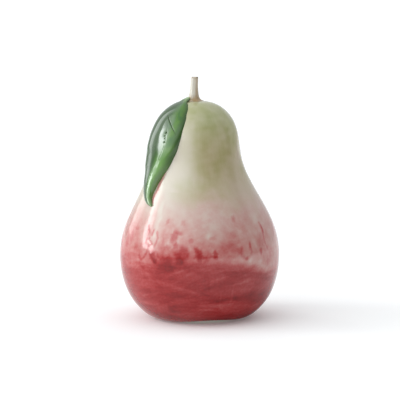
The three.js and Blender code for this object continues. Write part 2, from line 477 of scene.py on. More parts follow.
def down_the_skin(bench, outline, station):
    """The outline's radius and height at a distance down the skin, and how both of them change there."""
    held = bench.value("GeometryNodeObjectInfo", {"Object": outline}, "Geometry")
    found = bench.node("GeometryNodeSampleCurve", {"Curves": held, "Length": station}, mode="LENGTH")
    radius, _, height = bench.split(Term(bench, found.outputs["Position"]))
    along_radius, _, along_height = bench.split(Term(bench, found.outputs["Tangent"]))
    return radius, height, along_radius, along_height


def on_skin():
    inputs = {"Outline": "Object", "Angle": "Float", "Station": "Float", "Height": "Float"}
    bench, given = geometry_tree("on_skin", inputs, {"Position": "Vector"})
    radius, height, along_radius, along_height = down_the_skin(bench, given["Outline"], given["Station"])
    out = radius - along_height * given["Height"]
    up = height + along_radius * given["Height"]
    x = out * bench.math("COSINE", given["Angle"])
    y = out * bench.math("SINE", given["Angle"])
    return bench.give(Position=bench.group(SHAPE_BY_HAND, Position=bench.join(x, y, up)))


ON_SKIN = on_skin()

# %% [markdown]
# ## The leaf
#
# The leaf is thick and domed, with one shallow hollow pressed along it, and its clay was scored with one side
# vein before it was glazed. It could be sculpted from a flat sheet, but a rule keeps its edge clean and lets
# every measure be changed later. It is two grids that meet at the leaf's edge: one over the top, and one
# underneath, sunk a little into the body so that the two read as fused by their glaze. Its width, its height
# and the way its midrib wanders are drawn curves along it. The rest follows from u, which goes from stalk to
# tip, and v, which goes from one edge to the other.

# %% Leaf measures
LEAF_START = 4.1 * MM
LEAF_LENGTH = 78 * MM
LEAF_HALF_WIDTH = 18.6 * MM
LEAF_ANGLE = math.radians(-150)
TIP_TURN = math.radians(12.5)
TIP_TURN_POWER = 14
# Along the leaf: its width as a share of the widest, and the height of its middle in millimetres.
LEAF_WIDTHS = [
    (0, 0.07), (0.05, 0.17), (0.12, 0.49), (0.22, 0.82), (0.34, 1), (0.47, 0.97),
    (0.61, 0.77), (0.76, 0.46), (0.84, 0.33), (0.91, 0.23), (0.96, 0.175), (1, 0.1),
]  # fmt: skip
LEAF_CRESTS = [
    (0, 3.1), (0.05, 1.9), (0.11, 0.95), (0.25, 1.1), (0.45, 2.85), (0.56, 4.2), (0.68, 5), (0.74, 5),
    (0.8, 4.7), (0.86, 3.95), (0.91, 3.15), (1, 1.8),
]  # fmt: skip
HIGHEST_CREST = 5 * MM
# Below its middle the leaf slopes down to the left, and more so near its tip: start, end and slope.
TILTS = [(0.5, 0.62, 0.05), (0.67, 0.77, 0.1)]
# Across, the leaf is as full as (1 - side ** dome power) ** edge power, and side goes from nought in its
# middle to one at its edge. Each power has one value near the stalk, for a flat leaf with a steep edge, and
# another near the tip, for a rounder one. It changes over between the two places along it.
DOME_POWERS = (4, 2)
EDGE_POWERS = (0.62, 0.28)
ROUNDER_ALONG = (0.6, 0.8)
MIDRIB = [(0, 0), (0.25, 0.25), (0.4, 0.46), (0.55, 0.52), (0.72, 0.5), (0.85, 0.35), (1, 0)]  # u, v
# The hollow runs beside the midrib: on its right near the stalk, and on its left further down.
HOLLOW_ASIDE = (-0.16, 0.14)
HOLLOW_CROSSES = (0.36, 0.48)
HOLLOW_WIDTH = 0.33
HOLLOW_DEPTH = 2.1  # how deep it goes, over the square of the half width, per metre
HOLLOW_ALONG = [(0, 0), (0.12, 0), (0.33, 1), (0.48, 1), (0.62, 0.35), (0.8, 0.2), (1, 0)]
LEAF_SINK = 0.4 * MM  # how far the leaf's edge is pressed into the body
END_ROUND = 0.02  # share of the length in which each end rounds off
LEAF_ROWS = 320
LEAF_COLUMNS = 132
UNDER_COLUMNS = 4
print(f"leaf {LEAF_LENGTH / MM:.0f} mm long, {2 * LEAF_HALF_WIDTH / MM:.1f} mm wide")

# %% What was cut into the leaf
VEIN_DEPTH = 0.15 * MM
VEIN_AT = 0.208
VEIN_SLANT = 0.24  # how far along the leaf the side vein runs while it crosses one lobe
VEIN_ACROSS = (0.12, 0.25, 0.65, 0.85)  # where it begins, is deep, is still deep and ends
VEIN_WIDTH = 0.006
SCORE_WIDTH = 0.014
SCORE_SHARE = 0.3  # the depth of the midrib's score, as a share of the side vein's
SCORE_ALONG = (0.3, 0.4, 0.75, 0.85)
# Pits where the glaze boiled: along the leaf, across it, radius in millimetres.
PITS = [(0.395, 0.435, 0.6), (0.42, 0.425, 0.45), (0.441, 0.45, 0.35), (0.468, 0.472, 0.5)]
PIT_DEPTH = 0.35 * MM
print(f"side vein {VEIN_DEPTH / MM:.2f} mm deep, {len(PITS)} pits {PIT_DEPTH / MM:.2f} mm deep")


def cuts(bench, u, v, from_midrib):
    """The veins and the pits, each from nought to one."""
    vein = bench.bell(u - abs(v) * VEIN_SLANT - VEIN_AT, VEIN_WIDTH) * bench.between(v, *VEIN_ACROSS)
    score = bench.bell(from_midrib, SCORE_WIDTH) * (bench.between(u, *SCORE_ALONG) * SCORE_SHARE)
    pits = 0.0
    for along, aside, radius in PITS:
        distance = bench.length((u - along) * LEAF_LENGTH, (v - aside) * LEAF_HALF_WIDTH)
        pits += bench.bell(distance, radius * MM)
    return vein + score, pits


# %% Roll out the leaf and lay it on


def leaf_recipe():
    inputs = {
        "Outline": "Object", "Length": "Float", "Half width": "Float", "Crest": "Float", "Sink": "Float",
        "Rows": "Int", "Columns": "Int", "Glaze": "Material",
    }  # fmt: skip
    bench, given = geometry_tree("leaf", inputs, {"Mesh": "Geometry"})
    x, y, _ = bench.split(bench.position())
    u = 0.5 - y
    v = bench.math("SINE", x * math.pi)
    from_midrib = v - bench.drawn(u, MIDRIB)
    veins, pits = cuts(bench, u, v, from_midrib)

    ends = 1.0
    for distance in (u, 1.0 - u):
        gap = 1.0 - bench.math("MINIMUM", distance / END_ROUND, 1.0)
        ends *= bench.math("SQRT", 1.0 - gap * gap)
    half_width = bench.drawn(u, LEAF_WIDTHS) * ends * given["Half width"]
    crests = [(at, height * MM / HIGHEST_CREST) for at, height in LEAF_CRESTS]
    crest = bench.drawn(u, crests) * ends * given["Crest"]

    dome_power = bench.smooth(u, *ROUNDER_ALONG, *DOME_POWERS)
    edge_power = bench.smooth(u, *ROUNDER_ALONG, *EDGE_POWERS)
    fullness = bench.math("MAXIMUM", 1.0 - abs(v) ** dome_power, 0.0) ** edge_power
    beside = bench.bell(from_midrib + bench.smooth(u, *HOLLOW_CROSSES, *HOLLOW_ASIDE), HOLLOW_WIDTH)
    valley = beside * (bench.drawn(u, HOLLOW_ALONG) * HOLLOW_DEPTH) * (half_width * half_width)
    slope = sum(bench.smooth(u, start, end, 0.0, tilt) for start, end, tilt in TILTS)
    marks = veins * VEIN_DEPTH + pits * PIT_DEPTH
    rise = (crest + slope * (v * half_width) - valley) * fullness - marks
    under_height = given["Sink"] * -1.0
    top_height = rise + (1.0 - fullness) * under_height

    station = u * given["Length"] + LEAF_START
    distance = down_the_skin(bench, given["Outline"], station)[0]
    angle = u**TIP_TURN_POWER * TIP_TURN + LEAF_ANGLE + v * half_width / distance

    def side(columns, height):
        """One side of the leaf, laid on the body's skin at a height above it."""
        clay = bench.marked(bench.grid(columns, given["Rows"]), "blade", bench.join(u, v, veins + pits))
        place = {"Outline": given["Outline"], "Angle": angle, "Station": station, "Height": height}
        return bench.moved(clay, bench.group(ON_SKIN, **place))

    top = side(given["Columns"], top_height)
    under = bench.value("GeometryNodeFlipFaces", {"Mesh": side(UNDER_COLUMNS, under_height)})
    both = bench.node("GeometryNodeJoinGeometry")
    for clay in (top, under):
        bench.feed(both.inputs[0], clay)
    closed = finished(bench, Term(bench, both.outputs[0]))
    return bench.give(Mesh=bench.covered(closed, given["Glaze"]))


leaf_glaze = bpy.data.materials.new("streaked_leaf_glaze")
leaf_values = {
    "Outline": outline, "Length": LEAF_LENGTH, "Half width": LEAF_HALF_WIDTH, "Crest": HIGHEST_CREST,
    "Sink": LEAF_SINK, "Rows": LEAF_ROWS, "Columns": LEAF_COLUMNS, "Glaze": leaf_glaze,
}  # fmt: skip
leaf = grown("pear_leaf", leaf_recipe(), leaf_values)

# %% [markdown]
# ## The stem
#
# The stub of stem is a rod of clay, cut square, and its root was smeared out over the crown. A plain cylinder
# would miss that flare, so it is turned like the body, from a profile of its own. Then it is fluted a little,
# leant to the left and bent.

# %% Stem
STEM_LENGTH = STEM_TOP - CROWN_HEIGHT
STEM_LEAN = -3.6 * MM
STEM_BEND = 0.5 * MM
STEM_SIDES = 128
STEM_STEPS = 10
STEM_ROOT = 3 * MM  # how far it runs down into the body
ROOT_INSET = 1 * MM
FLUTES = 5
FLUTE_DEPTH = 0.03  # as a share of the radius
CUT_HOLLOW = 0.35 * MM
# The cut end: radius in millimetres, and depth as a share of its hollow.
STEM_CUT = [(0, 1), (0.9, 1), (1.3, 0.5), (1.6, 0), (1.9, 0)]
# Control points of the side below it: radius in millimetres, and height as a share of the stem's length.
STEM_SIDE = [
    (2.15, 0.99), (2.3, 0.92), (2.3, 0.62), (2.65, 0.4), (3, 0.2), (3.7, 0.06), (5.1, 0), (6.4, -0.02),
]  # fmt: skip


def stem_recipe():
    inputs = {"Profile": "Object", "Sides": "Int", "Lean": "Float", "Bend": "Float", "Glaze": "Material"}
    bench, given = geometry_tree("pear_stem", inputs, {"Mesh": "Geometry"})
    spun = bench.group(TURNED, Profile=given["Profile"], Sides=given["Sides"])
    x, y, z = bench.split(bench.position())
    flute = bench.math("SINE", bench.math("ARCTAN2", y, x) * FLUTES)
    swell = flute * FLUTE_DEPTH + 1.0
    share = bench.math("MAXIMUM", z, 0.0) / STEM_LENGTH
    aside = share * share * given["Bend"] + given["Lean"]
    closed = finished(bench, bench.moved(spun, bench.join(x * swell + aside, y * swell, z + CROWN_HEIGHT)))
    return bench.give(Mesh=bench.covered(closed, given["Glaze"]))


stem_points = [(radius * MM, STEM_LENGTH - depth * CUT_HOLLOW) for radius, depth in STEM_CUT]
stem_points += [(radius * MM, share * STEM_LENGTH) for radius, share in STEM_SIDE]
root_points = [stem_points[-1], (stem_points[-1][0] - ROOT_INSET, -STEM_ROOT), (0, -STEM_ROOT)]
stem_outline = profile("stem_outline", [("NURBS", stem_points), ("POLY", root_points)], STEM_STEPS)
stem_glaze = bpy.data.materials.new("thin_stem_glaze")
stem_values = {
    "Profile": stem_outline, "Sides": STEM_SIDES, "Lean": STEM_LEAN, "Bend": STEM_BEND, "Glaze": stem_glaze,
}  # fmt: skip
stem = grown("pear_stem", stem_recipe(), stem_values)
for helper in (outline, whole_outline, stem_outline):
    bpy.data.objects.remove(helper)

# %% [markdown]
# ## Painting the body
#
# The colour is stain brushed on the clay under a clear glaze. Stain doesn't cover: it filters the light, and
# a second stroke over the first makes it deeper. An image wrapped round the body could hold it, but it would
# be pinched at the crown and at the foot. So each stain is kept as a density on the skin's points, and
# strokes add to it. The painter's order is followed: a green wash down from the crown, a sponged pink blush,
# the red foot in broad sweeping strokes, and at last the dabs along its upper edge.
#
# A brush leaves lines where its bristles part. `streaks` makes them across a stroke, and a stroke's ends are
# ragged because its bristles lift one by one.

# %% Where each point of the skin is
rng = np.random.default_rng(7)
POINTS = len(body.data.vertices)


def read(name):
    """A vector attribute of the body's points, as rows of three numbers."""
    values = np.zeros(POINTS * 3)
    body.data.attributes[name].data.foreach_get("vector", values)
    return values.reshape(-1, 3)


def keep(name, values):
    body.data.attributes.new(name, "FLOAT", "POINT").data.foreach_set("value", values.astype(np.float32))
    print(f"{name}: {values.mean():.2f} on average, {values.max():.2f} at most")


around = read("around")
TURN = np.arctan2(around[:, 0], -around[:, 1])  # from the front, to the right when positive
DEGREES = np.degrees(TURN)
STATION = around[:, 2]
RADIUS = np.interp(STATION, SKIN_STATIONS, SKIN[:, 0])
HEIGHT = np.interp(STATION, SKIN_STATIONS, SKIN[:, 1])
print(f"{POINTS} points, from {HEIGHT.min() / MM:.0f} to {HEIGHT.max() / MM:.0f} mm high")


def station_at(height):
    return np.interp(-height, -SKIN[:, 1], SKIN_STATIONS)


def flattened(degrees, height, tilt=0):
    """Lays the skin flat about a place: how far each point lies along and across a tilted line there."""
    turn = (TURN - math.radians(degrees) + math.pi) % math.tau - math.pi
    right = turn * RADIUS
    up = station_at(height) - STATION
    cosine, sine = math.cos(math.radians(tilt)), math.sin(math.radians(tilt))
    return right * cosine + up * sine, up * cosine - right * sine


def ease(value, low, high):
    share = np.clip((value - low) / (high - low), 0, 1)
    return share * share * (3 - 2 * share)


def hump(value, middle, spread):
    return np.exp(-(((value - middle) / spread) ** 2))


# %% Chance, smoothed
KNOTS = 512
RIPPLES = 24
RIPPLE_SIZES = (0.6, 1.4)  # how many fit where one of the given size would


def waves(value, spacing, seed):
    """Smooth random numbers from -1 to 1 along a line."""
    knots = np.random.default_rng(seed).uniform(-1, 1, KNOTS)
    place = value / spacing
    whole = np.floor(place).astype(int)
    share = ease(place - whole, 0, 1)
    return knots[whole % KNOTS] * (1 - share) + knots[(whole + 1) % KNOTS] * share


def clouds(size, seed):
    """Smooth random numbers from about -1 to 1 all over the skin, in blots of about the given size."""
    random = np.random.default_rng(seed)
    place = np.array([v.co for v in body.data.vertices])
    total = np.zeros(POINTS)
    for _ in range(RIPPLES):
        way = random.normal(size=3)
        way *= math.tau / (2 * size * np.linalg.norm(way)) * random.uniform(*RIPPLE_SIZES)
        total += np.sin(place @ way + random.uniform(0, math.tau))
    return total / math.sqrt(RIPPLES)


def mottled(level, blots):
    """A level made uneven by blots, each kind with its strength, its size in millimetres and its seed."""
    for strength, size, seed in blots:
        level = level + strength * clouds(size * MM, seed)
    return level


# %% The brush
BRISTLES_LIFT = 0.22  # how raggedly a stroke ends
HAND_LIFTS = 0.1
HAND_RHYTHM = 3  # in bristles
STROKE_REACH = 1.3  # in half lengths: further out a stroke isn't worked out
END_FADES = (0.72, 1.0)  # shares of half the length
EDGE_FADES = (0.62, 1.05)  # shares of half the width
STREAKS = 0.45
SLANTED_STREAKS = 0.2
SLANT = 4
SLANT_RHYTHM = 6  # in bristles


def stroke(layer, degrees, height, length, width, tilt=0, bend=0, depth=1, seed=0, bristle=0.9):
    """Adds a brush stroke to a layer. Bend is how far its middle bows up. Measures are in millimetres."""
    along, across = flattened(degrees, height * MM, tilt)
    bristle *= MM
    width *= MM
    share = along / (length * MM / 2)
    across = across - bend * MM * (1 - share * share)
    inside = (np.abs(share) < STROKE_REACH) & (np.abs(across) < width)
    along, across, share = along[inside], across[inside], share[inside]
    lift = 1 + BRISTLES_LIFT * waves(across, bristle, seed)
    lift = lift + HAND_LIFTS * waves(along, HAND_RHYTHM * bristle, seed + 1)
    end = 1 - ease(np.abs(share), *(fade * lift for fade in END_FADES))
    edge = 1 - ease(np.abs(across) / (width / 2), *EDGE_FADES)
    streaks = 1 + STREAKS * waves(across, bristle, seed + 2)
    streaks += SLANTED_STREAKS * waves(along + SLANT * across, SLANT_RHYTHM * bristle, seed + 3)
    layer[inside] += depth * end * edge * streaks


trial_stroke = np.zeros(POINTS)
stroke(trial_stroke, degrees=0, height=60, length=30, width=8)
print(f"a stroke of 30 by 8 mm stains {np.count_nonzero(trial_stroke)} points")

# %% Dabs and thin lines
RAGGED = 0.3
LOBES = 1.3  # how quickly a dab's outline wanders going round it, against the step below
LOBE_STEP = 0.5  # in radians
DAB_FADES = (0.3, 1.5)  # shares of its size
POOL = 0.15
POOL_AT = (0.85, 0.3)


def dab(layer, degrees, height, wide, tall, tilt=0, depth=1, seed=0):
    """Adds one touch of a loaded brush: fuller at its edge, where the stain pools as it dries."""
    along, across = flattened(degrees, height * MM, tilt)
    ragged = 1 + RAGGED * waves(np.arctan2(across, along) * LOBES, LOBE_STEP, seed)
    away = np.hypot(along / (wide * MM / 2), across / (tall * MM / 2)) / ragged
    layer += depth * ((1 - POOL) * (1 - ease(away, *DAB_FADES)) + POOL * hump(away, *POOL_AT))


def drag(layer, width, depth, places):
    """Adds a thin line through places on the skin."""
    first_degrees, first_height = places[0]
    right, up = flattened(first_degrees, first_height * MM)
    degrees, heights = np.array(places).T
    line_x = np.radians(degrees - first_degrees) * np.interp(heights * -MM, -SKIN[:, 1], SKIN[:, 0])
    line_y = station_at(first_height * MM) - station_at(heights * MM)
    away = np.full(POINTS, np.inf)
    for x0, y0, x1, y1 in zip(line_x, line_y, line_x[1:], line_y[1:]):
        run_x, run_y = x1 - x0, y1 - y0
        share = np.clip(((right - x0) * run_x + (up - y0) * run_y) / (run_x**2 + run_y**2), 0, 1)
        away = np.minimum(away, np.hypot(right - x0 - share * run_x, up - y0 - share * run_y))
    layer += depth * hump(away, 0, width * MM / 2)


# %% [markdown]
# ### The green wash
#
# A soft wide brush drew thinned green down from the crown, so the wash is uneven and dies out below the neck.
# A plain gradient would look sprayed, so upright strokes and blots break it up. Beside the leaf it was wiped
# almost clean, and that pale strip also paints the sheen of the light on the left of the neck.

# %% Green wash, from the crown down
GREEN_FULL = 0.74 * CROWN_HEIGHT
GREEN_GONE = 0.5 * CROWN_HEIGHT
GREEN_LEVEL = 0.8
GREEN_BLOTS = [(0.16, 12, 1), (0.06, 4, 6)]
GREEN_GRAIN = [(0.1, 6, 8), (0.05, 2.5, 9)]
GREEN_STROKES = 34
# Beside the leaf the wash is thin, and this pale strip is also a painted sheen of the light on the neck's
# left.
WIPED_SHEEN_TURN = -34  # beside the leaf the wash was wiped thin
WIPED_SHEEN_SPREAD = 34
WIPED_AND_SHEEN = 0.9
WIPED_SHEEN_FROM = 0.8 * CROWN_HEIGHT  # down from here, and less and less up to the crown
# Second helpings of the wash, and thin places, below nought: degrees from the front, height, width and
# tallness in millimetres, depth.
GREEN_DABS = [
    (20, 107, 24, 34, 0.6), (14, 94, 14, 20, 0.3), (-5, 82, 22, 16, 0.4), (34, 120, 16, 26, 0.3),
    (28, 133, 44, 18, 0.5), (8, 127, 12, 18, 0.3), (60, 119, 14, 18, 0.45), (50, 104, 14, 20, 0.2),
    (22, 82, 16, 12, 0.3), (100, 100, 26, 30, 0.4), (170, 104, 30, 34, 0.4), (8, 99, 26, 22, -0.13),
    (18, 84, 16, 14, -0.1), (30, 75, 20, 12, 0.2), (2, 82, 16, 10, 0.1), (20, 104, 8, 14, -0.1),
]  # fmt: skip

green = ease(HEIGHT, GREEN_GONE, GREEN_FULL) * mottled(GREEN_LEVEL, GREEN_BLOTS)
for i in range(GREEN_STROKES):
    stroke(
        green, degrees=360 * (i + rng.uniform(-0.5, 0.5)) / GREEN_STROKES, height=rng.uniform(82, 108),
        length=rng.uniform(34, 60), width=rng.uniform(8, 16), tilt=90 + rng.uniform(-25, 25),
        depth=rng.uniform(0.02, 0.1), seed=100 + 7 * i, bristle=2.8,
    )  # fmt: skip
# Thinner wash beside the leaf: wiped, and also a painted sheen of the light on the left of the neck.
wiped = hump(DEGREES, WIPED_SHEEN_TURN, WIPED_SHEEN_SPREAD) * ease(HEIGHT, CROWN_HEIGHT, WIPED_SHEEN_FROM)
green *= 1 - WIPED_AND_SHEEN * wiped
for i, (degrees, height, wide, tall, depth) in enumerate(GREEN_DABS):
    dab(green, degrees, height, wide, tall, 0, depth, seed=200 + i)
green *= mottled(1, GREEN_GRAIN)
keep("green", green)

# %% [markdown]
# ### The blush
#
# The pink was dabbed on with a sponge, which leaves soft blots that run in no direction. Smooth noise of
# three sizes is closer to that than strokes would be.

# %% Pink blush, sponged on
BLUSH_TOP = 0.62 * CROWN_HEIGHT
BLUSH_LOW = 0.34 * CROWN_HEIGHT
BLUSH_DEPTH = 0.3
BLUSH_LEVEL = 0.9
BLUSH_BLOTS = [(0.18, 4, 2), (0.12, 10, 3), (0.12, 2.2, 4)]
BLUSH_LIMITS = (0.1, 1.6)
# A breath of it goes up the right side of the neck, and some more lies on the shoulder under the leaf.
NECK_BLUSH = 0.07
NECK_HEIGHTS = (0.95 * CROWN_HEIGHT, 0.75 * CROWN_HEIGHT)
NECK_STARTS = (-15, 15)  # degrees from the front
NECK_ENDS = (175, 140)
SHOULDER_BLUSH = 0.1
SHOULDER_HEIGHTS = (80 * MM, 66 * MM)
SHOULDER_TURN = (-64, 16)  # its middle and its spread

sponged = np.clip(mottled(BLUSH_LEVEL, BLUSH_BLOTS), *BLUSH_LIMITS)
red = BLUSH_DEPTH * ease(HEIGHT, BLUSH_TOP, BLUSH_LOW) * sponged
right_side = ease(DEGREES, *NECK_STARTS) * ease(DEGREES, *NECK_ENDS)
red += NECK_BLUSH * ease(HEIGHT, *NECK_HEIGHTS) * right_side
red += SHOULDER_BLUSH * ease(HEIGHT, *SHOULDER_HEIGHTS) * hump(DEGREES, *SHOULDER_TURN)
print(f"blush up to {red.max():.2f}")

# %% [markdown]
# ### The red foot
#
# The deep red was laid on with a broad brush while the pear turned, in a few coats, so its strokes sweep
# round and its upper edge wanders. The last coat, low down at the right, is painted shade as well as stain.
# Noise could make an edge wander too, but not just where a hand let it, so the edge is drawn as heights
# going round. Strokes placed by chance, from a fixed seed, make the sweeps, and a few single ones make the
# marks that stand out.

# %% The red foot
# Its upper edge, going round: degrees from the front, height and depth of the soft part in millimetres.
RED_EDGE = [
    (-180, 46, 6), (-150, 43, 5), (-120, 45, 8), (-90, 45, 13), (-68, 43.5, 15), (-44, 43.5, 12),
    (-33, 46, 9), (-22, 46, 5), (-14, 44.5, 4), (-8, 42.8, 3), (-3, 41.5, 3), (12, 41.3, 3), (19, 41, 3.5),
    (29, 39.5, 4), (38, 37.5, 4), (50, 33, 5), (59, 29, 6), (80, 34, 7), (110, 44, 6), (145, 41, 4),
    (180, 46, 6),
]  # fmt: skip
EDGE_BLOTS = [(0.8, 8, 5)]
FIRST_COAT = 0.7
SECOND_COAT = 0.42
SECOND_BELOW = (3 * MM, 18 * MM)  # it begins this far below the edge, and is full this far below
# Deeper red low down at the right, which is also painted shade under the belly there.
LAST_COAT_AND_SHADE = 0.3  # low down at the right
LAST_SHADE_HEIGHTS = (24 * MM, 8 * MM)
LAST_SHADE_TURN = 50
LAST_SHADE_REACH = (40, 20)  # degrees beside that where it ends and where it is full
FOOT_SWEEPS = 140
# Single strokes over them, and where a dry brush took paint off again, below nought: degrees from the front,
# height, length and width in millimetres, tilt, depth.
FOOT_STROKES = [
    (-7.6, 23.5, 24, 3.0, -17, -0.25), (-13, 36, 20, 2.2, 17, -0.3), (2, 10.5, 15, 2.8, 3, -0.4),
    (16, 20, 9, 1.4, 88, -0.35), (24.7, 20, 10, 1.4, 92, -0.4), (-32, 29, 15, 3.4, -17, -0.35),
    (5.5, 28, 8, 4.5, 85, 0.35), (-24, 10.5, 8, 5.5, 80, 0.4), (12, 31, 16, 1.4, 12, -0.3),
    (-18, 18, 14, 2, -8, -0.3), (31, 28, 14, 1.6, 8, -0.3), (-40, 20, 18, 2, 14, -0.3),
]  # fmt: skip

edge_turns, edge_heights, edge_depths = np.array(RED_EDGE).T
edge_height = np.interp(DEGREES, edge_turns, edge_heights) * MM
edge_depth = np.interp(DEGREES, edge_turns, edge_depths) * MM
below = mottled(edge_height / MM, EDGE_BLOTS) * MM - HEIGHT
red += FIRST_COAT * ease(below, -edge_depth, edge_depth) + SECOND_COAT * ease(below, *SECOND_BELOW)
# Deeper red low at the right: stain and painted shade.
red += LAST_COAT_AND_SHADE * ease(HEIGHT, *LAST_SHADE_HEIGHTS) * ease(np.abs(DEGREES - LAST_SHADE_TURN), *LAST_SHADE_REACH)
for i in range(FOOT_SWEEPS):
    degrees = rng.uniform(-180, 180)
    top = np.interp(degrees, edge_turns, edge_heights)
    stroke(
        red, degrees, height=rng.uniform(3, top - 2), length=rng.uniform(20, 50), width=rng.uniform(2.5, 8),
        tilt=rng.normal(5, 10), bend=rng.uniform(-1, 3), depth=rng.uniform(0.05, 0.3), seed=900 + 5 * i,
    )  # fmt: skip
for i, (degrees, height, length, width, tilt, depth) in enumerate(FOOT_STROKES):
    stroke(red, degrees, height, length, width, tilt, depth=depth, seed=3000 + 5 * i)
print(f"red foot up to {red.max():.2f}")

# %% [markdown]
# ### The dabs
#
# At last the tip of a loaded brush touched the clay all along the red's edge, and its corner drew thin lines.
# These catch the eye, so they are placed one by one and not by chance.

# %% Dabs along the edge
# Touches of a loaded brush, and softer patches that were gone over again or, below nought, sponged thin:
# degrees from the front, height, width and tallness in millimetres, tilt, depth.
DABS = [
    (-25, 40.5, 9, 8, 20, 0.7), (-22.5, 44.2, 6, 4, 0, 0.25), (-19.1, 38, 4.5, 3.2, 12, 0.7),
    (-8.1, 38.1, 5, 4, 0, 0.4), (-34.8, 43.8, 4.2, 8, 22, 0.65), (-32.8, 41.3, 2.6, 3, 0, 0.6),
    (-27, 49.5, 2.6, 9, 5, 0.25), (-17.5, 50.5, 3, 8, 0, 0.35), (-12, 46.2, 7.5, 8.5, -8, 0.85),
    (-14, 42, 4.5, 4.5, 0, 0.7), (-15, 45.5, 3, 4.5, 0, 0.3), (-5.5, 45, 6, 8, 0, 0.3),
    (-0.8, 46.7, 4.4, 7, 15, 0.95), (4.2, 43.9, 6, 4, 0, 0.3), (5, 46.5, 6, 5, 0, 0.15),
    (11.2, 46.4, 2.6, 5.2, 0, 0.65), (22, 48.5, 14, 9, 0, 0.16), (4, 62, 24, 18, 0, -0.06),
    (-60, 34, 24, 32, 0, -0.12), (-41, 33, 14, 22, 0, -0.14), (-61, 56, 16, 14, 0, 0.12),
    (0, 78, 30, 12, 0, 0.03), (48, 28, 14, 10, 0, 0.18), (68, 22, 16, 18, 0, 0.12),
    (5, 12, 40, 14, 0, -0.1), (-32, 4, 22, 9, 0, 0.25), (-24, 63, 6, 10, 0, 0.12),
    (-27.5, 54, 6, 12, 0, 0.12), (17, 50, 8, 7, 0, 0.12), (38.6, 50.4, 1.8, 3.2, 0, 0.35),
    (35, 43, 2.4, 2, 0, 0.3), (49, 46.4, 2.2, 4, 0, 0.4), (55.5, 59.1, 1.8, 5, 5, 0.4),
    (28.5, 67, 2.6, 4, 0, 0.2), (-19, 57, 3.8, 8, -12, 0.5), (-14.8, 58.7, 4, 2, 0, 0.35),
    (-17.1, 51.6, 3, 3.4, 20, 0.3), (-23, 50.8, 4, 3, 0, 0.25), (-6.3, 54.8, 2.8, 2.6, 0, 0.25),
    (9, 55.9, 4, 2.4, 0, 0.18), (-26, 65.2, 2.2, 3, 0, 0.2), (-13.3, 65, 3, 3, 0, 0.15),
    (-56.4, 59.6, 5, 2.4, 0, 0.2), (-60.7, 55, 4, 7, -5, 0.3), (-52.4, 49.1, 3, 4, 20, 0.25),
    (-66, 52, 4, 8, 0, 0.15), (-43.7, 36.5, 3.4, 2.6, 0, 0.3), (-10, 52, 8, 6, 0, 0.12),
    (3, 52, 8, 6, 0, 0.1), (-36, 52, 8, 12, 0, -0.1), (-41.5, 46.5, 5, 5, 0, -0.12),
    # (31, 12, 36, 16, 0, -0.58) is a broad pale patch low on the right: painted light that lifts the shade
    # there.
    (-35.5, 66, 4, 18, 0, -0.14), (-28, 43.3, 3, 5, 0, -0.14), (31, 12, 36, 16, 0, -0.58),
    (-50, 34, 26, 20, 0, -0.25), (1, 39, 20, 14, 0, 0.22), (2, 45, 14, 8, 0, 0.08),
    (54, 25, 24, 16, 0, 0.22), (-28, 8, 26, 8, 0, 0.14), (33, 48, 8, 6, 0, 0.12), (6.5, 55, 6, 6, 0, -0.07),
    (40, 59, 18, 12, 0, -0.06), (-20.5, 48, 6, 6, 0, -0.07), (-2, 58.5, 24, 14, 0, 0.06),
    (-41.3, 57.5, 4, 6, 0, 0.22), (-22, 49.5, 5, 4, 0, 0.15), (-22, 54, 4, 4, 0, -0.15),
    (40, 46, 16, 12, 0, -0.06), (-3, 54, 8, 6, 0, 0.06), (-38, 71, 7, 22, 0, 0.07),
    (-44, 62, 4, 16, 0, 0.08), (-21, 11, 8, 7, 0, 0.5), (-2, 32, 24, 10, 0, 0.15), (-35, 5, 24, 9, 0, 0.3),
    (-80, 49, 4, 7, 10, 0.4), (-97, 52, 3, 8, 0, 0.3), (-118, 48, 5, 6, -20, 0.5),
    (-140, 44, 8, 6, 10, 0.6), (-158, 50, 3, 7, 0, 0.4), (174, 48, 5, 8, -10, 0.7), (158, 43, 9, 6, 5, 0.5),
    (139, 50, 2.5, 5, 0, 0.4), (120, 46, 5, 8, 15, 0.7), (101, 49, 3, 6, 0, 0.4), (84, 42, 6, 5, -10, 0.4),
]  # fmt: skip
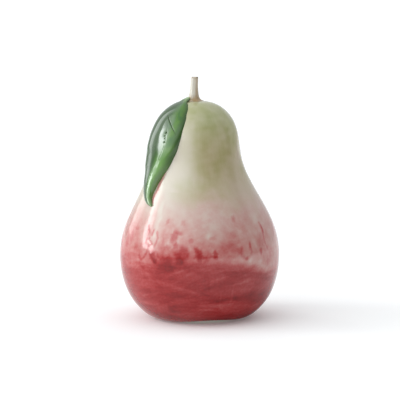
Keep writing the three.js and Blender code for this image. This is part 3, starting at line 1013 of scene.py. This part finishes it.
# Strokes with the corner of the brush: width in millimetres, depth, places. A depth below nought is a line
# that a dry brush wiped out.
DRAGS = [
    (1.6, 0.5, [(-37.4, 45.6), (-35, 43.2), (-33, 41.2)]),
    (1.3, 0.3, [(-33, 47.5), (-31.4, 46.5), (-30.5, 44)]), (2, 0.35, [(0, 45.8), (2.5, 44.9), (4.5, 44.4)]),
    (1.6, 0.3, [(8, 45.2), (11, 44.8)]), (1.2, 0.5, [(-43.1, 61.9), (-41.2, 57.9)]),
    (1.2, 0.5, [(-37.1, 59.9), (-37.9, 56.9)]),
    (1.3, 0.5, [(-39.5, 54.6), (-42, 54.3), (-42.3, 51.9), (-39, 50.3), (-36.5, 51.7), (-38.7, 53.3)]),
    (1.4, 0.45, [(-39.6, 50), (-40.2, 46.6), (-42.8, 43.3), (-45.6, 41.2), (-48, 44.1)]),
    (1.3, 0.4, [(-33.9, 59), (-32.1, 55.6), (-33.1, 52.5), (-34.4, 50.1)]),
    (1.8, 0.2, [
        (38.6, 52.5), (38.6, 49.5), (39.8, 47), (38.8, 44.5), (35, 42.8), (32, 43.6), (30.3, 46.5),
        (31.5, 49.8),
    ]),
    (1.2, 0.25, [(54, 63), (55.5, 59.1), (54.9, 56), (54.4, 52.5), (57, 47)]),
    (2.4, 0.35, [(-42, 93), (-43, 91.3), (-45.2, 87.1), (-45.4, 82.9), (-48.1, 78.6), (-48.1, 75.1)]),
    (1.8, -0.2, [(-24.2, 33.1), (-18, 34.5), (-12.3, 36.1), (-8.8, 39), (-6.7, 41.1)]),
    (2, -0.2, [(-17.6, 29.7), (-9, 34.5), (0.2, 37.6), (10.6, 38.6)]),
    (2, -0.22, [(-29.3, 29), (-18, 26.5), (-7, 23.7), (0.2, 21.8)]),
    (2.2, -0.2, [(-18.8, 19.4), (-7.2, 20.4)]), (4, -0.25, [(-57.5, 13.8), (-36.6, 14.1)]),
    (2.6, -0.14, [(0, 42.2), (5, 41.6), (15.6, 42.1)]), (2.4, -0.1, [(20, 41.5), (28, 39.8), (37.6, 40.9)]),
    (2, -0.15, [(20, 24), (50, 23)]),
]  # fmt: skip

touches = np.zeros(POINTS)
for i, (degrees, height, wide, tall, tilt, depth) in enumerate(DABS):
    dab(touches, degrees, height, wide, tall, tilt, depth, seed=40 + i)
for width, depth, places in DRAGS:
    drag(touches, width, depth, places)
keep("red", np.maximum(red + touches, 0))

# %% [markdown]
# The last touches were loaded with stain and stand proud of the skin. Their glaze follows, and that is what
# breaks up a mirrored light. A bump in the material could fake it, but the points lie close enough together
# to be moved out for real, by less than a tenth of a millimetre.
#
# Low down at the right the glaze was wiped thin, from the foot up. How thin is kept on the points too.

# %% Raise the touches, wipe the foot
TOUCH_HEIGHT = 0.09 * MM
BARED_TURN = 52
BARED_REACH = (75, 30)  # degrees beside it where the wiping ends and where it is full
BARED_HEIGHTS = (26 * MM, 8 * MM)

normals = np.zeros(POINTS * 3)
body.data.vertices.foreach_get("normal", normals)
raised = read("position") + normals.reshape(-1, 3) * (np.clip(touches, 0, 1) * TOUCH_HEIGHT)[:, None]
body.data.vertices.foreach_set("co", raised.ravel())
body.data.update()
keep("wiped", ease(HEIGHT, *BARED_HEIGHTS) * ease(np.abs(DEGREES - BARED_TURN), *BARED_REACH))

# %% [markdown]
# ## Glazes
#
# A glazed surface is two things: coloured ground that scatters light, and a clear glassy skin over it that
# mirrors. That skin could be a second shell, of glass, but the shader's coat does the same and needs no more
# faces. The glaze pooled and crawled a little as it melted, so a slow bump bends the mirrored lights.

# %% Words for materials
GLASSY = {"Specular IOR Level": 0.0, "Coat Weight": 1.0, "Coat Roughness": 0.03}


def surface(material, roughness, sockets):
    """Empties a material's tree and sets its shader's own sockets. Gives its bench and its shader."""
    material.use_nodes = True
    material.node_tree.nodes.clear()
    bench = Bench(material.node_tree)
    shader = bench.node("ShaderNodeBsdfPrincipled", {"Roughness": roughness, **sockets})
    bench.node("ShaderNodeOutputMaterial", {"Surface": Term(bench, shader.outputs[0])})
    print(f"{material.name}: roughness {roughness}, {sockets}")
    return bench, shader


def attribute(bench, name, output="Fac"):
    return bench.value("ShaderNodeAttribute", {}, output, attribute_name=name)


def object_place(bench):
    return bench.value("ShaderNodeTexCoord", {}, "Object")


def noise(bench, place, scale, detail=2.0, distortion=0.0):
    """Noise whose blots are about one over the scale wide, in metres."""
    feeds = {"Vector": place, "Scale": scale, "Detail": detail, "Distortion": distortion}
    return bench.value("ShaderNodeTexNoise", feeds)


def mixed(bench, share, a, b):
    return bench.value("ShaderNodeMix", {0: share, 6: a, 7: b}, 2, data_type="RGBA")


def stained(bench, ground, stains):
    """The ground colour seen through stains: each is a tint, and the density that deepens it."""
    for tint, density in stains:
        filtered = bench.vector("POWER", tint, bench.join(density, density, density))
        ground = bench.vector("MULTIPLY", ground, filtered)
    return ground


# %% Painted glaze
IVORY = (0.59, 0.533, 0.463)
RED_TINT = (0.63, 0.09, 0.10)
GREEN_TINT = (0.74, 0.80, 0.55)
# Streaks: their size along and across, in millimetres, and how steeply they climb.
SWEEPS = [(12, 1.4, 0.3), (16, 1.8, -0.05)]
RUNS = (1.6, 30, 0)
DRIFT = 0.3  # how far they wander up and down, as a share of the belly's radius
DRIFT_SCALE = 2.5
# The red's grain is fine, and streaked where the foot is covered. The green's is broader, and runs down.
FINE_SCALE = 700.0
BROAD_SCALE = 160.0
GRAIN_DETAIL = 3.0
FINE_SHARE = 0.6
SWEEP_SHARE = 0.45
COVERED = (0.4, 0.9)
BROAD_SHARE = 0.7
RUN_SHARE = 0.25
WIPED_SHARE = 0.6  # of the coat, where the foot was wiped
LUMP_HEIGHT = 0.12 * MM
LUMPS = [(1.0, 90.0, 2.0), (0.15, 320.0, 1.0)]  # share, scale and detail of each


def swept(bench, along, across, slope):
    """Noise drawn out into streaks, either side of nought."""
    x, y, station = bench.split(attribute(bench, "around", "Vector"))
    level = station + x * (slope * BELLY_RADIUS)
    drift = noise(bench, bench.join(x, y, station * (1 / BELLY_RADIUS)), DRIFT_SCALE, detail=1.0)
    level = level + drift * (DRIFT * BELLY_RADIUS)
    round_it = BELLY_RADIUS / (along * MM)
    stretched = bench.join(x * round_it, y * round_it, level * (1 / (across * MM)))
    return noise(bench, stretched, scale=1.0) - 0.5


def paint(material):
    bench, shader = surface(material, roughness=0.3, sockets=GLASSY)
    place = object_place(bench)
    fine = noise(bench, place, FINE_SCALE, GRAIN_DETAIL) - 0.5
    broad = noise(bench, place, BROAD_SCALE, GRAIN_DETAIL) - 0.5
    red_stain = attribute(bench, "red")
    sweeps = sum(swept(bench, *sweep) for sweep in SWEEPS)
    covered = bench.smooth(red_stain, *COVERED)
    red_density = red_stain * (fine * FINE_SHARE + sweeps * covered * SWEEP_SHARE + 1.0)
    runs = swept(bench, *RUNS)
    green_density = attribute(bench, "green") * (broad * BROAD_SHARE + runs * RUN_SHARE + 1.0)
    colour = stained(bench, IVORY, [(RED_TINT, red_density), (GREEN_TINT, green_density)])
    bench.feed(shader.inputs["Base Color"], colour)
    bench.feed(shader.inputs["Coat Weight"], 1.0 - attribute(bench, "wiped") * WIPED_SHARE)
    lumps = sum(noise(bench, place, scale, detail) * share for share, scale, detail in LUMPS)
    feeds = {"Height": lumps * LUMP_HEIGHT, "Strength": 1.0, "Distance": 1.0}
    bump = bench.value("ShaderNodeBump", feeds)
    bench.feed(shader.inputs["Normal"], bump)
    bench.feed(shader.inputs["Coat Normal"], bump)


paint(painted_glaze)

# %% [markdown]
# ### The leaf's glaze
#
# Green glaze runs off what is high and pools in what is low, so it is dark at the edges and in the cuts, and
# thin at the stalk and the tip. The pale ends also carry a painted highlight. The dark right edge, turned
# from the light, is painted shade as well as pooled glaze, and the darker left side is painted shade. Noise
# alone could scatter the shades, but not gather them there. So the leaf's points carry u, v and the depth of
# the cuts, and the shades follow those. Its clear skin bends light more than the body's does, so it mirrors
# more.

# %% Leaf glaze
LEAF_GREEN = (0.04, 0.12, 0.032, 1)
LEAF_YELLOW = (0.08, 0.185, 0.024, 1)
LEAF_DARK = (0.025, 0.06, 0.012, 1)
LEAF_LIGHT = (0.15, 0.30, 0.08, 1)
LEAF_THIN_GLINT = (0.34, 0.46, 0.24, 1)
LEAF_COAT_IOR = 1.75
# Where each shade lies, in u along the leaf and v across it, with how strong it is at either end.
WASH_GRAIN = (9.0, 3.5)
WASH_SWIRL = 0.6
WASH_PATCHES = (0.2, 0.75)
WASH_ACROSS = (0.0, 0.7)
LIGHT_ALONG = (0.4, 0.7, 0.0, 0.8)
LIGHT_ACROSS = (0.2, 0.5)
# Paler at the stalk and the tip, where the glaze runs thin, and a painted highlight there too.
THIN_GLINT_STALK = (0.01, 0.11, 1.0, 0.0)
THIN_GLINT_TIP = (0.94, 1.0, 0.0, 0.5)
# Right edge: pooled glaze and painted shade. Left side: painted shade.
DARK_EDGE_ALONG = (0.5, 0.8, 0.85, 0.35)
DARK_EDGE_ACROSS = (0.7, 0.97)
SHADED_SIDE_ACROSS = (0.1, 0.65, 0.85, 0.0)
# The clear glaze is leaner on a patch right of the middle, along the upper right edge and in the cuts.
LEAN_PATCH = (0.61, 0.1)
LEAN_PATCH_ACROSS = (0.0, 0.25, 0.0, 0.65)
LEAN_EDGE_ACROSS = (0.48, 0.66)
LEAN_EDGE_ALONG = (0.45, 0.62, 0.5, 0.0)
LEAN_CUTS = 0.75


def glaze_leaf(material):
    bench, shader = surface(material, roughness=0.25, sockets={**GLASSY, "Coat IOR": LEAF_COAT_IOR})
    u, v, cut = bench.split(attribute(bench, "blade", "Vector"))
    brushed = bench.join(u * WASH_GRAIN[0], v * WASH_GRAIN[1])
    patches = bench.smooth(noise(bench, brushed, scale=1.0, distortion=WASH_SWIRL), *WASH_PATCHES)
    wash = patches * bench.smooth(v, *WASH_ACROSS)
    light = bench.smooth(u, *LIGHT_ALONG) * bench.smooth(v, *LIGHT_ACROSS)
    # Pale ends: thin glaze and painted highlight. Dark right edge: pooled glaze and painted shade.
    thin_and_glint = bench.smooth(u, *THIN_GLINT_STALK) + bench.smooth(u, *THIN_GLINT_TIP)
    edge = bench.smooth(v, *DARK_EDGE_ACROSS) * bench.smooth(u, *DARK_EDGE_ALONG)
    # Darker left side: painted shade.
    shaded_side = bench.smooth(v, *SHADED_SIDE_ACROSS) * (1.0 - thin_and_glint)
    pooled_and_shaded = bench.math("MINIMUM", edge + shaded_side + cut, 1.0)
    colour = mixed(bench, wash, LEAF_GREEN, LEAF_YELLOW)
    for share, shade in ((light, LEAF_LIGHT), (thin_and_glint, LEAF_THIN_GLINT), (pooled_and_shaded, LEAF_DARK)):
        colour = mixed(bench, share, colour, shade)
    bench.feed(shader.inputs["Base Color"], colour)
    middle, spread = LEAN_PATCH
    lean = bench.bell(u - middle, spread) * bench.smooth(v, *LEAN_PATCH_ACROSS)
    lean_edge = bench.smooth(v, *LEAN_EDGE_ACROSS) * bench.smooth(u, *LEAN_EDGE_ALONG)
    for other in (lean_edge, cut * LEAN_CUTS):
        lean = bench.math("MAXIMUM", lean, other)
    bench.feed(shader.inputs["Coat Weight"], 1.0 - lean)


glaze_leaf(leaf_glaze)

# %% [markdown]
# ### The stem's glaze
#
# The stem is cream clay under a thin glaze, with brown rubbed in round its root and in the pores of its cut
# end. Its right side, turned from the light, is painted tan as shade. It has no brush strokes, so noise and
# height in its own coordinates are enough to place the shades.

# %% Stem glaze
STEM_CREAM = (0.63, 0.60, 0.53, 1)
STEM_TAN = (0.47, 0.38, 0.27, 1)
STEM_BROWN = (0.36, 0.25, 0.13, 1)
STEM_HOLE = (0.12, 0.08, 0.05, 1)
FIBRE_SCALES = (900.0, 900.0, 90.0)
FIBRES = (0.4, 0.8, 0.0, 0.5)
THIN_COAT = {**GLASSY, "Coat Weight": 0.7, "Coat Roughness": 0.08}
# Painted shade: the right side, turned from the light, is tinted tan.
SHADED_TAN_SIDE = (STEM_LEAN - 0.3 * MM, STEM_LEAN + 2.2 * MM)  # it is tan on the right
BLOT_SCALE = 260.0
BLOTS = (0.3, 0.55)
BROWN_ROOT = (CROWN_HEIGHT + 0.5 * MM, CROWN_HEIGHT + 4.5 * MM, 1.0, 0.0)
CUT_END = (STEM_TOP - 1.6 * MM, STEM_TOP - 0.2 * MM)
CUT_TAN = 0.5
SPECK_SCALE = 600.0
SPECKS = (0.5, 0.65)


def glaze_stem(material):
    bench, shader = surface(material, roughness=0.35, sockets=THIN_COAT)
    place = object_place(bench)
    x, y, z = bench.split(place)
    stretched = bench.join(*(part * scale for part, scale in zip((x, y, z), FIBRE_SCALES)))
    fibres = bench.smooth(noise(bench, stretched, scale=1.0), *FIBRES)
    # Tan streaks, and painted shade down the right side.
    tan_and_shade = bench.math("MINIMUM", fibres + bench.smooth(x, *SHADED_TAN_SIDE), 1.0)
    brown = bench.smooth(z, *BROWN_ROOT) * bench.smooth(noise(bench, place, BLOT_SCALE), *BLOTS)
    cut = bench.smooth(z, *CUT_END)
    specks = cut * bench.smooth(noise(bench, place, SPECK_SCALE), *SPECKS)
    colour = STEM_CREAM
    shades = [(tan_and_shade, STEM_TAN), (brown, STEM_BROWN), (cut * CUT_TAN, STEM_TAN), (specks, STEM_HOLE)]
    for share, shade in shades:
        colour = mixed(bench, share, colour, shade)
    bench.feed(shader.inputs["Base Color"], colour)


glaze_stem(stem_glaze)

# %% [markdown]
# ### Bare clay
#
# The foot has no glaze. It is matt, pale and a little dusty, so it needs two colours and no coat.

# %% Bare clay
CLAY = (0.72, 0.66, 0.58, 1)
CLAY_DUSTY = (0.52, 0.46, 0.38, 1)
DUST = [(0.7, 120.0, 4.0), (0.3, 1500.0, 2.0)]  # share, scale and detail of each kind of blot
DUSTY = (0.4, 0.65)


def leave_bare(material):
    bench, shader = surface(material, roughness=0.85, sockets={})
    place = object_place(bench)
    dust = sum(noise(bench, place, scale, detail) * share for share, scale, detail in DUST)
    bench.feed(shader.inputs["Base Color"], mixed(bench, bench.smooth(dust, *DUSTY), CLAY, CLAY_DUSTY))


leave_bare(bare_clay)

# %% [markdown]
# ## Studio
#
# The pear stands on a wide pale sheet inside a white tent, which is brightest on the left, as by a window.
# Lamps could stand for the window, but a glaze mirrors all that is around it. So the whole tent is drawn in
# the world's light: its brightness going round, and what changes with height.

# %% Floor
FLOOR_RADIUS = 60.0
FLOOR_SIDES = 96
PAPER = {"Base Color": (0.9, 0.9, 0.9, 1), "Emission Color": (1, 1, 1, 1), "Emission Strength": 0.12}

turns = [math.tau * i / FLOOR_SIDES for i in range(FLOOR_SIDES)]
corners = [(FLOOR_RADIUS * math.cos(turn), FLOOR_RADIUS * math.sin(turn), 0) for turn in turns]
floor_mesh = bpy.data.meshes.new("floor")
floor_mesh.from_pydata(corners, [], [range(FLOOR_SIDES)])
floor = bpy.data.objects.new("floor", floor_mesh)
bpy.context.scene.collection.objects.link(floor)
paper = bpy.data.materials.new("paper")
surface(paper, roughness=0.9, sockets=PAPER)
floor_mesh.materials.append(paper)

# %% The tent's light
# Brightness of the tent going round: degrees from the camera, to the right when positive.
TENT = [
    (-180, 0.9), (-166, 0.8), (-151, 0.6), (-141, 0.6), (-138, 2.5), (-121, 2.5), (-115, 1.2), (-95, 1.1),
    (-91, 3.2), (-66, 3.2), (-60, 2.5), (-30, 2), (-3, 0.55), (15, 0.2), (33, 0.15), (100, 0.15), (107, 0.7),
    (150, 0.75), (180, 0.9),
]  # fmt: skip
BRIGHTEST = 3.2
ZENITH = 1.05
OVERHEAD = (0.5, 0.8)  # sines of the elevations between which the sides pass into the top
DAYLIGHT = (0.96, 0.985, 1, 1)
# A curtain hangs open down the left side of the window. Its edge bows to the left as it rises.
EDGE_TURN = -91
EDGE_SLANT = -14
EDGE_BOW = -36
EDGE_REACH = 30  # how far beside the edge, in degrees, the rest of the tent leans with it
# The bare glass beside the curtain is brightest. It reaches further to the right near the sill.
GLASS_START = (-91, -88.5)
GLASS_END = (-91, -83)
GLASS_LIGHT = 6
GLASS_TOP = (0.38, 0.64)  # sines again, where the glass begins to fade and where it is gone
GLASS_LOW = (0.12, 0.3)
GLASS_WIDER = 18
# Below the sill it is dark, and so is the low wall to the right of the window: sides, top, how dark.
UNDER_SILL = (0.07, 0.115)
DARK_PLACES = [
    ((-145, -141, -60, -50), UNDER_SILL, 0.5),
    ((-64, -54, -20, 0), (0.12, 0.3), 0.65),
]


def tent_light(bench):
    x, y, z = bench.split(bench.value("ShaderNodeTexCoord", {}, "Generated"))
    turn = bench.math("ARCTAN2", x, y * -1.0) * (180 / math.pi)
    beside_edge = bench.bell(turn - EDGE_TURN, EDGE_REACH)
    leaning = turn - z * (z * EDGE_BOW + EDGE_SLANT) * beside_edge
    shares = [((degrees + 180) / 360, light / BRIGHTEST) for degrees, light in TENT]
    strength = bench.drawn(leaning * (1 / 360) + 0.5, shares, "VECTOR") * BRIGHTEST
    for sides, top, dark in DARK_PLACES:
        strength = strength * (1.0 - bench.between(turn, *sides) * bench.smooth(z, *top, dark, 0.0))
    wider = bench.smooth(z, *GLASS_LOW, GLASS_WIDER, 0.0)
    glass = bench.smooth(leaning, *GLASS_START) * bench.smooth(turn - wider, *GLASS_END, 1.0, 0.0)
    glass = glass * bench.smooth(z, *GLASS_TOP, GLASS_LIGHT, 0.0) * bench.smooth(z, *UNDER_SILL)
    strength = strength + glass
    overhead = bench.smooth(z, *OVERHEAD)
    return strength * (1.0 - overhead) + overhead * ZENITH


world = bpy.data.worlds.new("tent")
world.use_nodes = True
world.node_tree.nodes.clear()
bench = Bench(world.node_tree)
background = bench.value("ShaderNodeBackground", {"Color": DAYLIGHT, "Strength": tent_light(bench)})
bench.node("ShaderNodeOutputWorld", {"Surface": background})
bpy.context.scene.world = world
bpy.context.scene.view_settings.view_transform = "Standard"
print(f"tent: {len(world.node_tree.nodes)} nodes, up to {BRIGHTEST + GLASS_LIGHT} bright")

# %% [markdown]
#
# Nothing on the pear moves, so all three pieces ride the one body. Each replaces its namesake in the packed
# model.

# %% Tie the pieces to the imported model
for piece, node in ((body, "body"), (stem, "stem"), (leaf, "leaf")):
    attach(piece, "root")
    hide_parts(node)
